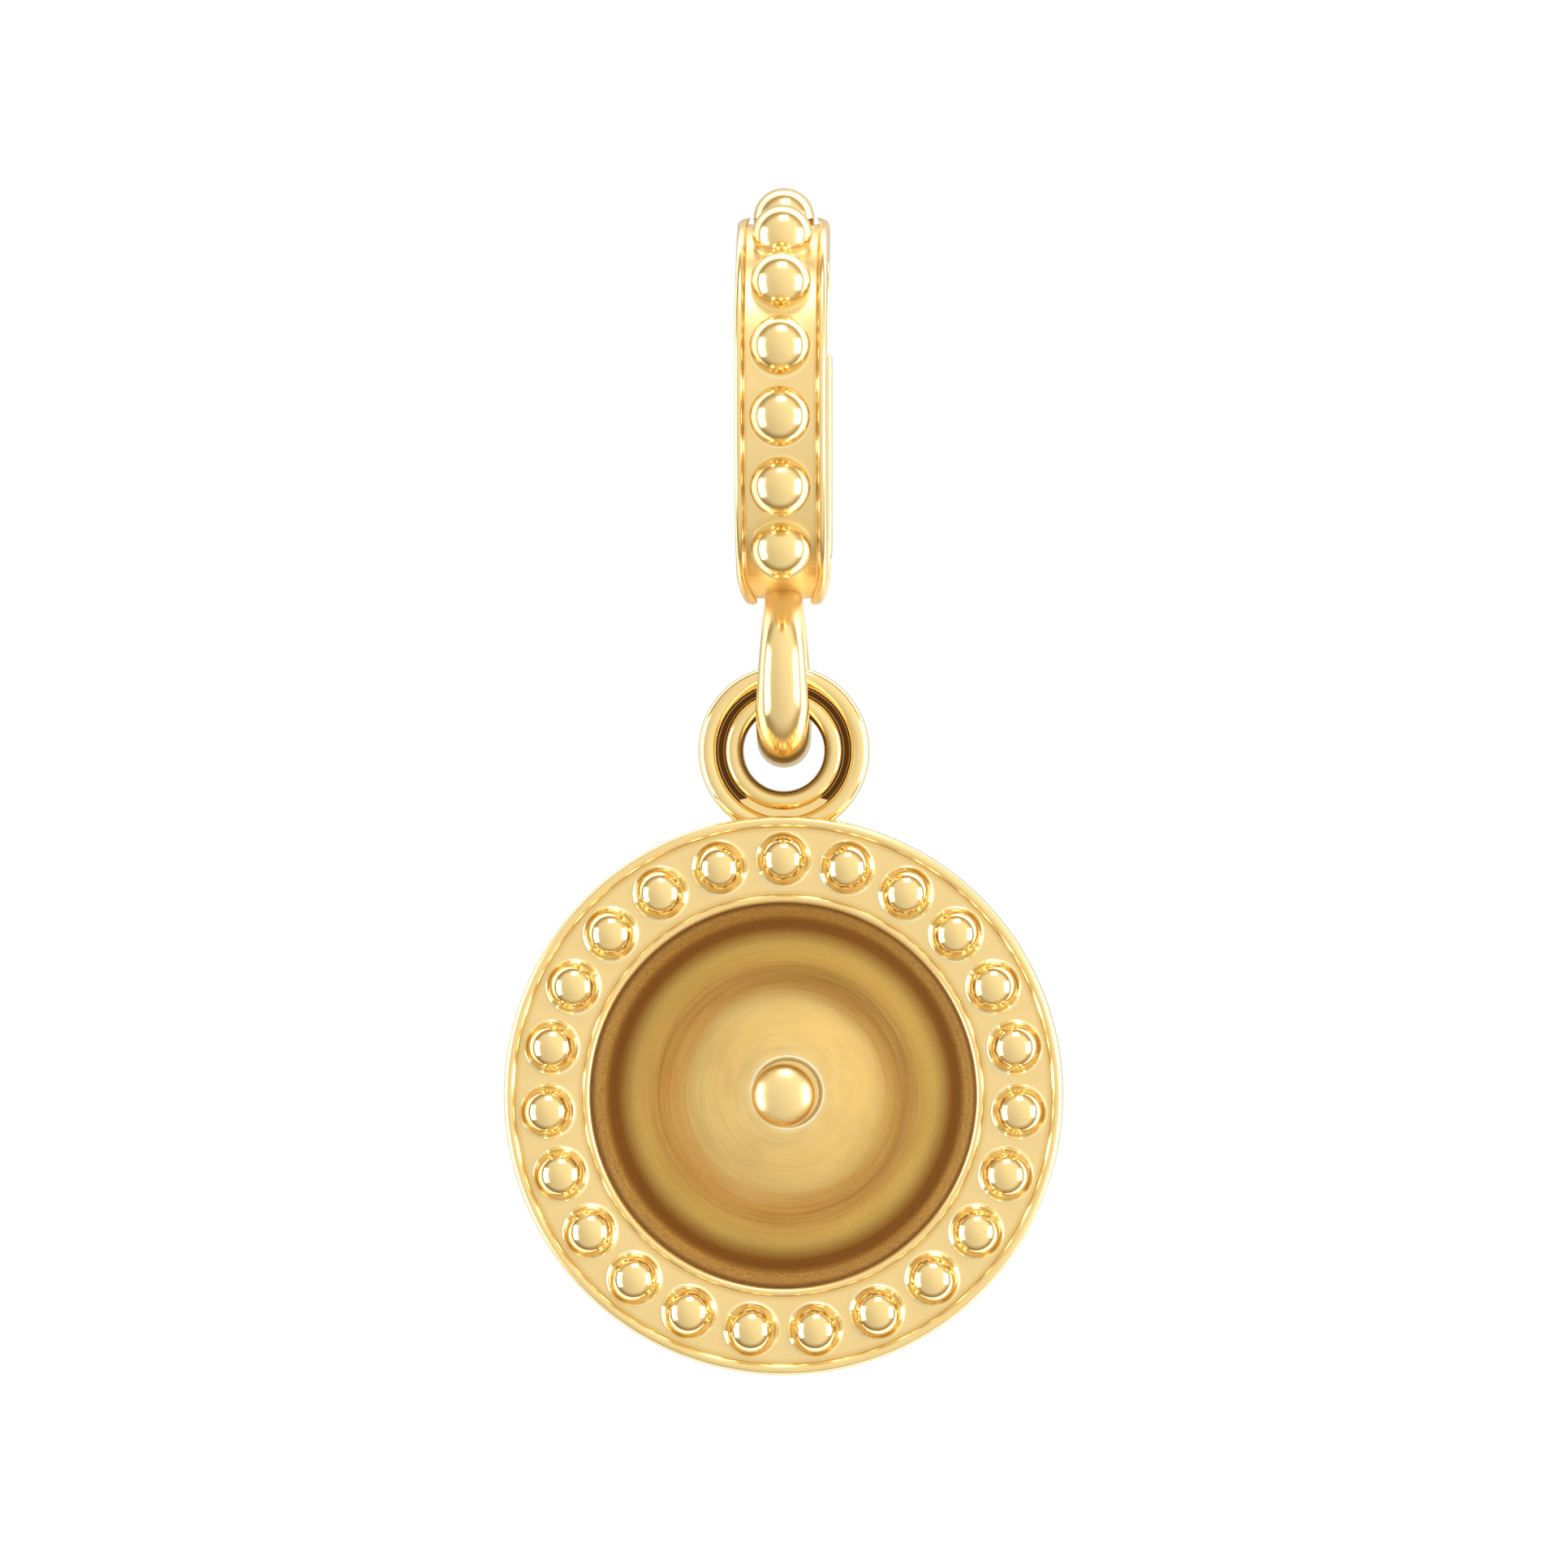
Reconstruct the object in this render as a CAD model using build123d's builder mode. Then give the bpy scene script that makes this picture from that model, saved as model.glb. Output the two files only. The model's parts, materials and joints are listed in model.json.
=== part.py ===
from build123d import *
from math import sqrt
import os

# A pearl pendant setting in yellow gold. A round cup with a peg for a half drilled pearl
# hangs by its loop from a small ring under a hinged, beaded bail.
# Lengths are in millimetres. +Z is up, the beaded side faces -Y, and the origin is the
# inside top of the bail, where it bears on a chain or a wire.

# Bail seen from its side: the front is half an ellipse, the back is straight
floor_half_height = 2.95
front_depth = 2.43
back_depth = 1.25
back_top_corner = 1.40
back_bottom_corner = 1.25
hoop_wall = 0.52

# Bail seen from the front: a band with a sunk channel between two rims
band_width = 1.43
rim_width = 0.14
rim_height = 0.10
rim_corner = 0.13
foot_width = 1.00
foot_height = 0.80
channel_end = 0.62

# Beads in the channel, the first at the very top
bail_bead_radius = 0.48
bail_bead_pitch = 1.09
bail_bead_count = 7
bail_bead_stand = 0.09

# Ring under the bail, a wire that is thinner where it joins the band
ring_radius = 1.14
ring_wire_radius = 0.42
ring_neck_radius = 0.345
ring_overlap = 0.03

# Gate at the back, its hinge and the narrower end of the band that it closes on
gate_width = 1.47
gate_drop = 2.02
gate_edge = 0.06
latch_width = 1.20
latch_taper = 0.30
hinge_rise = 0.93
hinge_shelf = 0.15
hinge_foot = 0.08
knuckle_width = 0.66
pin_radius = 0.15
pin_inset = 0.03
pin_seat_gap = 0.01
pin_run_gap = 0.03
gate_gap = 0.06

# Cup for the pearl: a deep round bowl in a flat flange with a lip at each edge
mouth_radius = 3.04
bowl_centre_ahead = 0.35
bowl_wall = 0.40
flange_width = 1.36
flange_thickness = 1.00
flange_edge = 0.20
outer_lip_width = 0.18
outer_lip_height = 0.10
inner_lip_width = 0.13
inner_lip_height = 0.07

# Peg that the pearl is glued on
peg_radius = 0.51
peg_length = 2.90
peg_dome = 0.34
peg_fillet = 0.08

# Beads along the middle of the flange, the first at the top
cup_bead_radius = 0.41
cup_bead_count = 23
cup_bead_stand = 0.08

# Loop at the top of the cup: two round ridges with a groove between them
loop_hole_radius = 0.64
loop_ridge_width = 0.30
loop_groove = 0.105
loop_thickness = 0.62
loop_web = 0.30
loop_sink = 0.315
loop_fillet = 0.25
swing_gap = 0.045

# Places that follow from the sizes above
hoop_centre = hoop_wall - floor_half_height
floor_top = hoop_centre + floor_half_height
floor_bottom = hoop_centre - floor_half_height
floor_back = back_depth - rim_height
gate_top = floor_top - gate_drop
gate_thickness = hoop_wall + rim_height
hinge_height = floor_bottom + hinge_rise
hinge_depth = back_depth - gate_thickness / 2
knuckle_radius = gate_thickness / 2
knuckle_clear = knuckle_radius + gate_gap
ring_centre = floor_bottom + ring_overlap - ring_radius
ring_hole_radius = ring_radius - ring_wire_radius
swing_height = ring_centre - ring_radius
disc_radius = mouth_radius + flange_width
cup_bead_circle = mouth_radius + flange_width / 2
ridge_radius = loop_ridge_width / 2
loop_radius = loop_hole_radius + 2 * loop_ridge_width + loop_groove
loop_rise = disc_radius + loop_radius - loop_sink

# The round edge of the loop's inner ridge lies in the round hole of the ring
ridge_offset = loop_thickness / 2 - ridge_radius
ridge_drop = sqrt((ring_hole_radius - swing_gap - ridge_radius) ** 2 - ridge_offset**2)
loop_centre = ring_centre - ridge_drop - ridge_radius - loop_hole_radius
disc_centre = loop_centre - loop_rise
reach = 4 * floor_half_height
hinge_plane = Plane((0, hinge_depth, hinge_height), x_dir=(0, 1, 0), z_dir=(1, 0, 0))


def hoop_face(growth):
    """Side view of the hoop, filled, with its edge that far outside the channel's floor."""
    front = front_depth + growth
    half_height = floor_half_height + growth
    back = floor_back + growth
    back_start = floor_bottom + back_bottom_corner
    back_end = floor_top - back_top_corner
    with BuildSketch() as face:
        with BuildLine():
            EllipticalCenterArc((0, hoop_centre), front, half_height, 90, arc_size=180)
            EllipticalCenterArc((0, back_start), back, back_bottom_corner + growth, 270, arc_size=90)
            Line((back, back_start), (back, back_end))
            EllipticalCenterArc((0, back_end), back, back_top_corner + growth, 0, arc_size=90)
        make_face()
    return face.sketch


def band_face(inset, rise):
    """Front view of the band, drawn in by that much, with its sides closing in at the foot."""
    side = band_width / 2 - inset
    foot = foot_width / 2 - inset
    top = floor_top + rise
    foot_bottom = floor_bottom - rim_height
    foot_start = foot_bottom + foot_height
    with BuildSketch() as face:
        with BuildLine():
            Line((-side, top), (side, top))
            Line((side, top), (side, foot_start))
            TangentArc((side, foot_start), (foot, foot_bottom), tangent=(0, -1))
            Line((foot, foot_bottom), (-foot, foot_bottom))
            TangentArc((-side, foot_start), (-foot, foot_bottom), tangent=(0, -1))
            Line((-side, foot_start), (-side, top))
        make_face()
    return face.sketch


hoop_outside = hoop_face(rim_height)
hoop_floor = hoop_face(0)
hoop_inside = hoop_face(-hoop_wall)
hoop_beyond = hoop_face(2 * rim_height)
band_outline = band_face(0, rim_height)
channel_outline = band_face(rim_width, 2 * rim_height)

# Channel between the rims, cut round the front and over the top
with BuildPart() as channel:
    with BuildSketch(Plane.YZ):
        add(hoop_beyond)
        add(hoop_floor, mode=Mode.SUBTRACT)
        with Locations((channel_end, hoop_centre)):
            Rectangle(reach, reach, align=(Align.MIN, Align.CENTER), mode=Mode.SUBTRACT)
    extrude(amount=band_width, both=True)
    with BuildSketch(Plane.XZ):
        add(channel_outline)
    extrude(amount=reach, both=True, mode=Mode.INTERSECT)

# Beads in the channel, evenly spaced along its floor
with BuildLine(Plane.YZ) as bead_path:
    EllipticalCenterArc(
        (0, hoop_centre),
        front_depth + bail_bead_stand,
        floor_half_height + bail_bead_stand,
        90,
        arc_size=180,
    )
bail_bead_spots = [
    bead_path.wire().position_at(n * bail_bead_pitch, position_mode=PositionMode.LENGTH)
    for n in range(bail_bead_count)
]

# Ring under the band: the lower half is even, and each upper quarter tapers to its neck
with BuildPart() as ring_quarter:
    with BuildLine(Plane.YZ) as quarter_path:
        CenterArc((0, ring_centre), ring_radius, 0, 90)
    quarter_start = Plane(quarter_path.line @ 0, x_dir=(1, 0, 0), z_dir=quarter_path.line % 0)
    quarter_end = Plane(quarter_path.line @ 1, x_dir=(1, 0, 0), z_dir=quarter_path.line % 1)
    with BuildSketch(quarter_start) as ring_side:
        Circle(ring_wire_radius)
    with BuildSketch(quarter_end) as ring_top:
        Circle(ring_neck_radius)
    sweep(sections=[ring_side.sketch, ring_top.sketch], path=quarter_path.line, multisection=True)

with BuildPart() as bail_ring:
    with BuildSketch(Plane.XY.offset(ring_centre)):
        with Locations((0, ring_radius)):
            Circle(ring_wire_radius)
    revolve(axis=Axis((0, 0, ring_centre), (1, 0, 0)), revolution_arc=-180)
    add(ring_quarter.part)
    add(ring_quarter.part.mirror(Plane.XZ))

# Bow: the beaded band with the ring under it, cast in one piece
with BuildPart() as bail_bow:
    with BuildSketch(Plane.YZ):
        add(hoop_outside)
        add(hoop_inside, mode=Mode.SUBTRACT)
    extrude(amount=band_width / 2, both=True)
    with BuildSketch(Plane.XZ) as bow_front:
        add(band_outline)
        fillet(bow_front.vertices().group_by(Axis.Y)[-1], radius=rim_corner)
    extrude(amount=reach, both=True, mode=Mode.INTERSECT)
    add(channel.part, mode=Mode.SUBTRACT)

    # Opening at the back for the gate
    with BuildSketch(Plane.YZ):
        with Locations((hinge_depth - knuckle_clear, hinge_height - hinge_shelf)):
            Rectangle(
                reach,
                gate_top + gate_gap - hinge_height + hinge_shelf,
                align=(Align.MIN, Align.MIN),
            )
        with Locations((hinge_depth + hinge_foot, hinge_height)):
            Rectangle(reach, reach, align=(Align.MIN, Align.MAX))
    extrude(amount=band_width, both=True, mode=Mode.SUBTRACT)

    # Sides of the end that the gate closes on
    with BuildSketch(Plane.XY.offset(gate_top)):
        with BuildLine():
            Polyline(
                (band_width / 2, channel_end),
                (latch_width / 2, channel_end + latch_taper),
                (latch_width / 2, 2 * back_depth),
                (band_width, 2 * back_depth),
                (band_width, channel_end),
                close=True,
            )
        make_face()
        mirror(about=Plane.YZ)
    extrude(amount=floor_top - gate_top + rim_height, mode=Mode.SUBTRACT)

    # Knuckle for the hinge pin, with room at its sides for the ears of the gate
    with BuildSketch(hinge_plane):
        Circle(knuckle_clear)
    extrude(amount=band_width, both=True, mode=Mode.SUBTRACT)
    with BuildSketch(hinge_plane):
        Circle(knuckle_radius)
        with Locations((0, -knuckle_clear)):
            Rectangle(knuckle_radius + hinge_foot, knuckle_clear, align=(Align.CENTER, Align.MIN))
    extrude(amount=knuckle_width / 2, both=True)

    add(bail_ring.part)
    with Locations(*bail_bead_spots):
        Sphere(bail_bead_radius)

    # Nothing of the beads or the ring stands inside the hoop
    with BuildSketch(Plane.YZ):
        add(hoop_inside)
    extrude(amount=band_width, both=True, mode=Mode.SUBTRACT)

    with BuildSketch(hinge_plane):
        Circle(pin_radius + pin_seat_gap)
    extrude(amount=band_width, both=True, mode=Mode.SUBTRACT)

# Gate: a straight bar that closes the back, with two ears on the hinge pin
with BuildPart() as bail_gate:
    with BuildSketch(hinge_plane):
        Circle(knuckle_radius)
        Rectangle(gate_thickness, gate_top - hinge_height, align=(Align.CENTER, Align.MIN))
    extrude(amount=gate_width / 2, both=True)
    side_faces = bail_gate.faces().filter_by(Axis.X)
    fillet(side_faces.edges(), radius=gate_edge)
    with BuildSketch(hinge_plane):
        Circle(knuckle_clear)
    extrude(amount=knuckle_width / 2 + gate_gap, both=True, mode=Mode.SUBTRACT)
    with BuildSketch(hinge_plane):
        Circle(pin_radius + pin_run_gap)
    extrude(amount=gate_width, both=True, mode=Mode.SUBTRACT)

with BuildPart() as hinge_pin:
    with BuildSketch(hinge_plane):
        Circle(pin_radius)
    extrude(amount=gate_width / 2 - pin_inset, both=True)

# Cup: bowl, flange and peg turned about one axis, then the beads and the loop
flange_front = -flange_thickness / 2
flange_back = flange_thickness / 2
bowl_radius = sqrt(mouth_radius**2 + bowl_centre_ahead**2)
bowl_centre = flange_front - bowl_centre_ahead
bowl_bottom = bowl_centre + bowl_radius
shell_radius = bowl_radius + bowl_wall
peg_tip = bowl_bottom - peg_length
peg_foot = bowl_centre + sqrt(bowl_radius**2 - peg_radius**2)
shell_at_flange = sqrt(shell_radius**2 - (flange_back - bowl_centre) ** 2)
inner_lip_radius = mouth_radius + inner_lip_width
outer_lip_radius = disc_radius - outer_lip_width
bowl_diagonal = bowl_radius * sqrt(0.5)
shell_diagonal = shell_radius * sqrt(0.5)

cup_front = Plane((0, 0, disc_centre), x_dir=(1, 0, 0), z_dir=(0, -1, 0))
loop_middle = Plane((0, 0, loop_centre), x_dir=(1, 0, 0), z_dir=(0, -1, 0))

with BuildPart() as setting:
    with BuildSketch(Plane.XY.offset(disc_centre)) as half_section:
        with BuildLine():
            EllipticalCenterArc((0, peg_tip + peg_dome), peg_radius, peg_dome, 270, arc_size=90)
            Line((peg_radius, peg_tip + peg_dome), (peg_radius, peg_foot))
            ThreePointArc(
                (peg_radius, peg_foot),
                (bowl_diagonal, bowl_centre + bowl_diagonal),
                (mouth_radius, flange_front),
            )
            ThreePointArc(
                (mouth_radius, flange_front),
                (mouth_radius + inner_lip_width / 2, flange_front - inner_lip_height),
                (inner_lip_radius, flange_front),
            )
            Line((inner_lip_radius, flange_front), (outer_lip_radius, flange_front))
            ThreePointArc(
                (outer_lip_radius, flange_front),
                (disc_radius - outer_lip_width / 2, flange_front - outer_lip_height),
                (disc_radius, flange_front),
            )
            Line((disc_radius, flange_front), (disc_radius, flange_back - flange_edge))
            RadiusArc(
                (disc_radius, flange_back - flange_edge),
                (disc_radius - flange_edge, flange_back),
                -flange_edge,
            )
            Line((disc_radius - flange_edge, flange_back), (shell_at_flange, flange_back))
            ThreePointArc(
                (shell_at_flange, flange_back),
                (shell_diagonal, bowl_centre + shell_diagonal),
                (0, bowl_centre + shell_radius),
            )
            Line((0, bowl_centre + shell_radius), (0, peg_tip))
        make_face()
        foot_corner = half_section.vertices().sort_by_distance((peg_radius, peg_foot))[0]
        fillet(foot_corner, radius=peg_fillet)
    revolve(axis=Axis((0, 0, disc_centre), (0, 1, 0)))

    with Locations(cup_front.offset(cup_bead_stand - flange_front)):
        with PolarLocations(cup_bead_circle, cup_bead_count, start_angle=90):
            Sphere(cup_bead_radius)

    # Web of the loop, with small fillets where it runs into the edge of the flange
    with BuildSketch(cup_front) as neck:
        Circle(disc_radius - outer_lip_width / 2)
        with Locations((0, loop_rise)):
            Circle(loop_radius - ridge_radius)
        fillet(neck.vertices(), radius=loop_fillet)
        with Locations((0, disc_radius - flange_edge)):
            Rectangle(2 * disc_radius, reach, align=(Align.CENTER, Align.MIN), mode=Mode.INTERSECT)
    extrude(amount=loop_web / 2, both=True)

    # The two ridges
    with BuildSketch(Plane.XY.offset(loop_centre)):
        with Locations((loop_radius - ridge_radius, 0), (loop_hole_radius + ridge_radius, 0)):
            SlotOverall(loop_thickness, loop_ridge_width, rotation=90)
    revolve(axis=Axis((0, 0, loop_centre), (0, 1, 0)))
    with BuildSketch(loop_middle):
        Circle(loop_hole_radius)
    extrude(amount=loop_thickness, both=True, mode=Mode.SUBTRACT)

bail_bow.part.label = "bail_bow"
bail_gate.part.label = "bail_gate"
hinge_pin.part.label = "hinge_pin"
setting.part.label = "setting"

os.makedirs("parts", exist_ok=True)
for piece in (bail_bow.part, bail_gate.part, hinge_pin.part, setting.part):
    export_step(piece, f"parts/{piece.label}.step")
    box = piece.bounding_box()
    print(piece.label, len(piece.solids()), "solid", round(piece.volume, 3), "mm3", box.min, box.max)
print("setting swings about Y at height", round(swing_height, 4))
print("cup centre at height", round(disc_centre, 4))
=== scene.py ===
import json
from math import atan2, cos, hypot, pi, radians, sin, sqrt

import bmesh
import bpy
from bpy.props import FloatProperty, FloatVectorProperty, IntProperty, PointerProperty
from bpy.types import Operator, Panel, PropertyGroup
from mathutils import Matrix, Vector


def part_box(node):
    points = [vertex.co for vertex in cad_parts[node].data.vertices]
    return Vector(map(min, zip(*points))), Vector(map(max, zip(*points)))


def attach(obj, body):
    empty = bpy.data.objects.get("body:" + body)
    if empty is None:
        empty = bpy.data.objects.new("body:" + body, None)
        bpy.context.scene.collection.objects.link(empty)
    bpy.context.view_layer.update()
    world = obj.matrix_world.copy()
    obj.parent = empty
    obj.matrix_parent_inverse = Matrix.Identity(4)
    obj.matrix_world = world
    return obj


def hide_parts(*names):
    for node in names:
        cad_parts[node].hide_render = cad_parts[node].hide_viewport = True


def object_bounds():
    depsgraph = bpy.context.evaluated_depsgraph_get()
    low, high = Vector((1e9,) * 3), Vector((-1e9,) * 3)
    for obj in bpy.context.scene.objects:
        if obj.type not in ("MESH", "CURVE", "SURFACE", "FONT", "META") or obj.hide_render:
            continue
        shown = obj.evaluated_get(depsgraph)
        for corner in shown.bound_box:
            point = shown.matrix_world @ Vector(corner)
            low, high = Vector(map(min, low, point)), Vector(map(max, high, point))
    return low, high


# A pearl pendant setting in yellow gold: a beaded cup with a peg for the pearl, hung by its
# ribbed loop from the ring of a beaded bail. The frame gives the places of the hinge, the
# peg, the gate and the pin, and the sizes below are the maker's, in metres.

bl_info = {
    "name": "Pearl pendant setting",
    "version": (1, 0, 0),
    "blender": (4, 5, 0),
    "location": "View3D > Sidebar > Pendant",
    "description": "Builds the gold bail, gate, pin and beaded pearl cup around the packed frame",
    "category": "Add Mesh",
}

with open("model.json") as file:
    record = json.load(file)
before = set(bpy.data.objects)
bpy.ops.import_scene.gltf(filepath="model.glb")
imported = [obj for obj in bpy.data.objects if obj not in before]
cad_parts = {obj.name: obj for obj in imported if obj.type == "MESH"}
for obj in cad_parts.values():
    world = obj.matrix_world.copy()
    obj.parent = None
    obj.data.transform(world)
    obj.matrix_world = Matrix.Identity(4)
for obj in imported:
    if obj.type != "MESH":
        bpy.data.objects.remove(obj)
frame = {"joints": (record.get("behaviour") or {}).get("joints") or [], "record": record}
CAD_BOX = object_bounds()
JOINTS = {joint["name"]: joint for joint in frame["joints"]}
MOUNTS = {mount["name"]: mount for mount in frame["record"]["mounts"]}
HINGE = Vector(JOINTS["gate_hinge"]["pos_m"])
CUP_CENTRE = Vector((0, 0, MOUNTS["pearl_peg"]["pos_m"][2]))
GATE_LOW, GATE_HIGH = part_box("bail_gate")
PIN_LOW, PIN_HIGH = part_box("hinge_pin")
PIN_RADIUS = (PIN_HIGH.z - PIN_LOW.z) / 2
MM = 0.001
# Points closer together than this are one point.
MERGE = 1e-8
# How far under the flange's face the fillets of its beads end, so that no two faces touch.
SINK = 2e-6

# Steps of the meshes, as a number or as the turn of one face.
BAND_STEPS = (("front", 200), ("bottom", 48), ("back", 24), ("top", 52))
CHANNEL_STEPS = 400
STEPS_PER_CUP_BEAD = 12
BOWL_STEP = radians(1.2)
SHELL_STEP = radians(2)
EAR_STEP = radians(6)
BORE_STEP = radians(45)
FLOOR_STEP = radians(5)
BEVEL_SEGMENTS = 4
BEVEL_LIMIT = radians(40)

# Zones of the gold, for its painted shade, painted light and satin: whole up to the first distance
# in millimetres, and gone at the second.
RIM_CORNER = (0.01, 0.08)
RING_JOINT = (1.00, 1.50)
BEAD_FOOT = (0.06, 0.18)
BEAD_EDGE = (0.00, 0.02)
SKIRT_FOOT = (0.09, 0.18)
SKIRT_EDGE = (-0.05, -0.02)
FLANGE_EDGE = (0.00, 0.03)
FLANGE_DEPTH = (-0.12, -0.02)
LIP_CORNER = (0.02, 0.09)
GROOVE_SIDE = (0.03, 0.07)
GROOVE_DEPTH = (0.08, 0.15)
HOLE_WALL = (0.03, 0.14)
# Zones of the band, by how far out they lie: 1 is the floor of its channel.
UNDER_CHANNEL = (0.93, 0.98)
CHANNEL_START = (0.970, 0.995)
CHANNEL_END = (1.004, 1.014)
# How strong those zones are.
BAIL_CORNER_SHADE = 0.5
BAIL_SATIN = 0.35
JOINT_SATIN = 2
CUP_CORNER_SHADE = 0.4
HOLE_SHADE = 0.7

# Soft boxes: azimuth and elevation in degrees, then width and height in millimetres.
SOFT_BOXES = {
    "left_box": (-74, -4, 140, 300),
    "right_box": (74, 0, 130, 230),
    "top_box": (14, 68, 130, 100),
}
# The camera's sensor in millimetres, and the nearest and farthest that it sees in metres.
SENSOR_WIDTH = 36
CLIP_START, CLIP_END = 0.01, 10


def length(name, description, millimetres):
    """A length that the user can set, given in millimetres and kept in metres."""
    return FloatProperty(
        name=name, description=description, default=millimetres * MM, unit="LENGTH", precision=5
    )


def angle(name, description, degrees):
    """An angle that the user can set, given in degrees and kept in radians."""
    return FloatProperty(
        name=name, description=description, default=radians(degrees), subtype="ANGLE"
    )


def share(name, description, value):
    """A plain number from 0 up that the user can set."""
    return FloatProperty(name=name, description=description, default=value, min=0.0, precision=4)


def number(name, description, value):
    """A count that the user can set."""
    return IntProperty(name=name, description=description, default=value, min=1)


def colour(name, description, value):
    """A linear colour or radiance that the user can set."""
    return FloatVectorProperty(
        name=name, description=description, default=value, subtype="COLOR", size=3, min=0, max=4
    )


class PendantBail(PropertyGroup):
    """Sizes of the bail's band, seen from its side and its front."""

    half_height: length("Half height", "From the middle of the hoop to the channel's floor", 2.95)
    front_depth: length("Front depth", "From the middle of the hoop forward to the floor", 2.43)
    back_depth: length("Back depth", "From the middle of the hoop back to its outside", 1.25)
    top_corner: length("Top corner", "Height of the round corner at the back's top", 1.40)
    bottom_corner: length("Bottom corner", "Height of the round corner at the back's foot", 1.25)
    wall: length("Wall", "Thickness of the band under its channel", 0.52)
    width: length("Band width", "Width of the band from side to side", 1.43)
    rim_width: length("Rim width", "Width of each rim beside the channel", 0.14)
    rim_foot: length("Rim width at the foot", "Width of each rim where it ends in a lobe", 0.20)
    rim_height: length("Rim height", "Height of the rims above the channel's floor", 0.10)
    rim_round: length("Rim round", "Height of the round top of the rims", 0.07)
    shoulder: length("Shoulder", "Radius of the band's top corners, seen from the front", 0.13)
    foot_width: length("Foot width", "Width of the band at its foot", 1.18)
    foot_height: length("Foot height", "Height over which the sides close in", 0.55)
    channel_end: length("Channel end", "How far back the channel goes", 0.62)
    channel_step: length("Channel step", "Length of the step at the channel's end", 0.06)
    channel_fillet: length("Channel fillet", "Radius between the floor and the rims", 0.03)
    inner_edge: length("Inner edge", "Radius of the band's inner edges", 0.06)
    latch_width: length("Latch width", "Width of the end that the gate closes on", 1.20)
    latch_taper: length("Latch taper", "Length over which the band narrows to that end", 0.30)


class PendantRing(PropertyGroup):
    """Sizes of the ring under the bail."""

    radius: length("Ring radius", "From the ring's centre to the middle of its wire", 1.125)
    wire: length("Wire radius", "Radius of the ring's wire at its lower end", 0.42)
    neck: length("Neck radius", "Radius of the wire where it joins the band", 0.29)


class PendantHinge(PropertyGroup):
    """Sizes of the hinge between the bail's bow and its gate."""

    gap: length("Gate gap", "Space between the gate and the band", 0.06)
    shelf: length("Shelf drop", "From the hinge's middle down to the band's shelf", 0.15)
    foot: length("Foot length", "How far the band goes on behind the hinge's middle", 0.08)
    knuckle: length("Knuckle width", "Width of the knuckle between the gate's ears", 0.66)
    seat_gap: length("Seat gap", "Clearance of the pin in the knuckle", 0.01)
    run_gap: length("Running gap", "Clearance of the pin in the gate's ears", 0.03)
    edge: length("Edge", "Radius of the gate's edges", 0.06)
    fine_edge: length("Fine edge", "Radius of the edges of the pin and the knuckle", 0.03)


class PendantCup(PropertyGroup):
    """Sizes of the cup that holds the pearl."""

    mouth: length("Mouth radius", "Radius of the bowl where it meets the flange", 3.04)
    centre_ahead: length("Centre ahead", "How far the bowl's centre lies before the flange", 0.35)
    wall: length("Bowl wall", "Thickness of the bowl", 0.40)
    flange_width: length("Flange width", "Width of the flat flange round the bowl", 1.36)
    flange_thickness: length("Flange thickness", "Thickness of the flange", 1.00)
    flange_edge: length("Flange edge", "Radius of the flange's rear edge", 0.20)
    back_fillet: length("Back fillet", "Radius where the bowl meets the flange behind", 0.12)
    outer_lip_width: length("Outer lip width", "Width of the raised lip at the rim", 0.18)
    outer_lip_height: length("Outer lip height", "Height of the raised lip at the rim", 0.10)
    inner_lip_width: length("Inner lip width", "Width of the raised lip at the bowl", 0.13)
    inner_lip_height: length("Inner lip height", "Height of the raised lip at the bowl", 0.07)
    peg_radius: length("Peg radius", "Radius of the peg that the pearl is glued on", 0.51)
    peg_length: length("Peg length", "Length of the peg from the bowl's floor", 2.90)
    peg_dome: length("Peg dome", "Height of the peg's round tip", 0.34)
    peg_fillet: length("Peg fillet", "Radius at the peg's foot", 0.08)


class PendantLoop(PropertyGroup):
    """Sizes of the ribbed loop at the top of the cup."""

    rise: length("Loop rise", "From the cup's centre up to the loop's", 5.43)
    hole: length("Hole radius", "Radius of the loop's hole", 0.64)
    ridge: length("Ridge width", "Width of each of the two round ridges", 0.30)
    groove: length("Groove", "Width of the floor of the groove between them", 0.105)
    thickness: length("Loop thickness", "Thickness of the loop over its ridges", 0.62)
    web: length("Web", "Thickness of the web between the ridges", 0.14)
    neck: length("Neck", "Thickness of the plate between the loop and the flange", 0.30)
    fillet: length("Loop fillet", "Radius where the loop runs into the flange", 0.25)


class PendantBeads(PropertyGroup):
    """Sizes and numbers of the beads on the bail and the cup."""

    bail_radius: length("Bail bead radius", "Radius of the beads on the bail", 0.48)
    bail_pitch: length("Bail bead pitch", "Distance between them along the channel", 1.09)
    bail_count: number("Bail beads", "Number of beads on the bail", 7)
    bail_stand: length("Bail bead stand", "How far their centres stand above the floor", 0.09)
    cup_radius: length("Cup bead radius", "Radius of the beads on the flange", 0.38)
    cup_count: number("Cup beads", "Number of beads on the flange", 23)
    cup_skirt: length("Cup bead fillet", "Radius where they run into the flange", 0.10)


class PendantFinish(PropertyGroup):
    """Smoothness of the meshes."""

    cup_segments: number("Cup segments", "Faces around the cup", 256)
    loop_segments: number("Loop segments", "Faces around the loop", 160)
    bead_segments: number("Bead segments", "Faces around a bead", 48)
    bead_step: angle("Bead step", "Turn of a face over a bead", 5)
    ring_segments: number("Ring segments", "Faces around the ring", 160)
    wire_segments: number("Wire segments", "Faces around the ring's wire", 56)
    turned_segments: number("Turned segments", "Faces around the pin and the knuckle", 64)
    arc_step: angle("Arc step", "Turn of a face along a rounded edge", 12)
    crease: angle("Crease", "Edges that turn by more than this stay sharp", 32)


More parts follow.
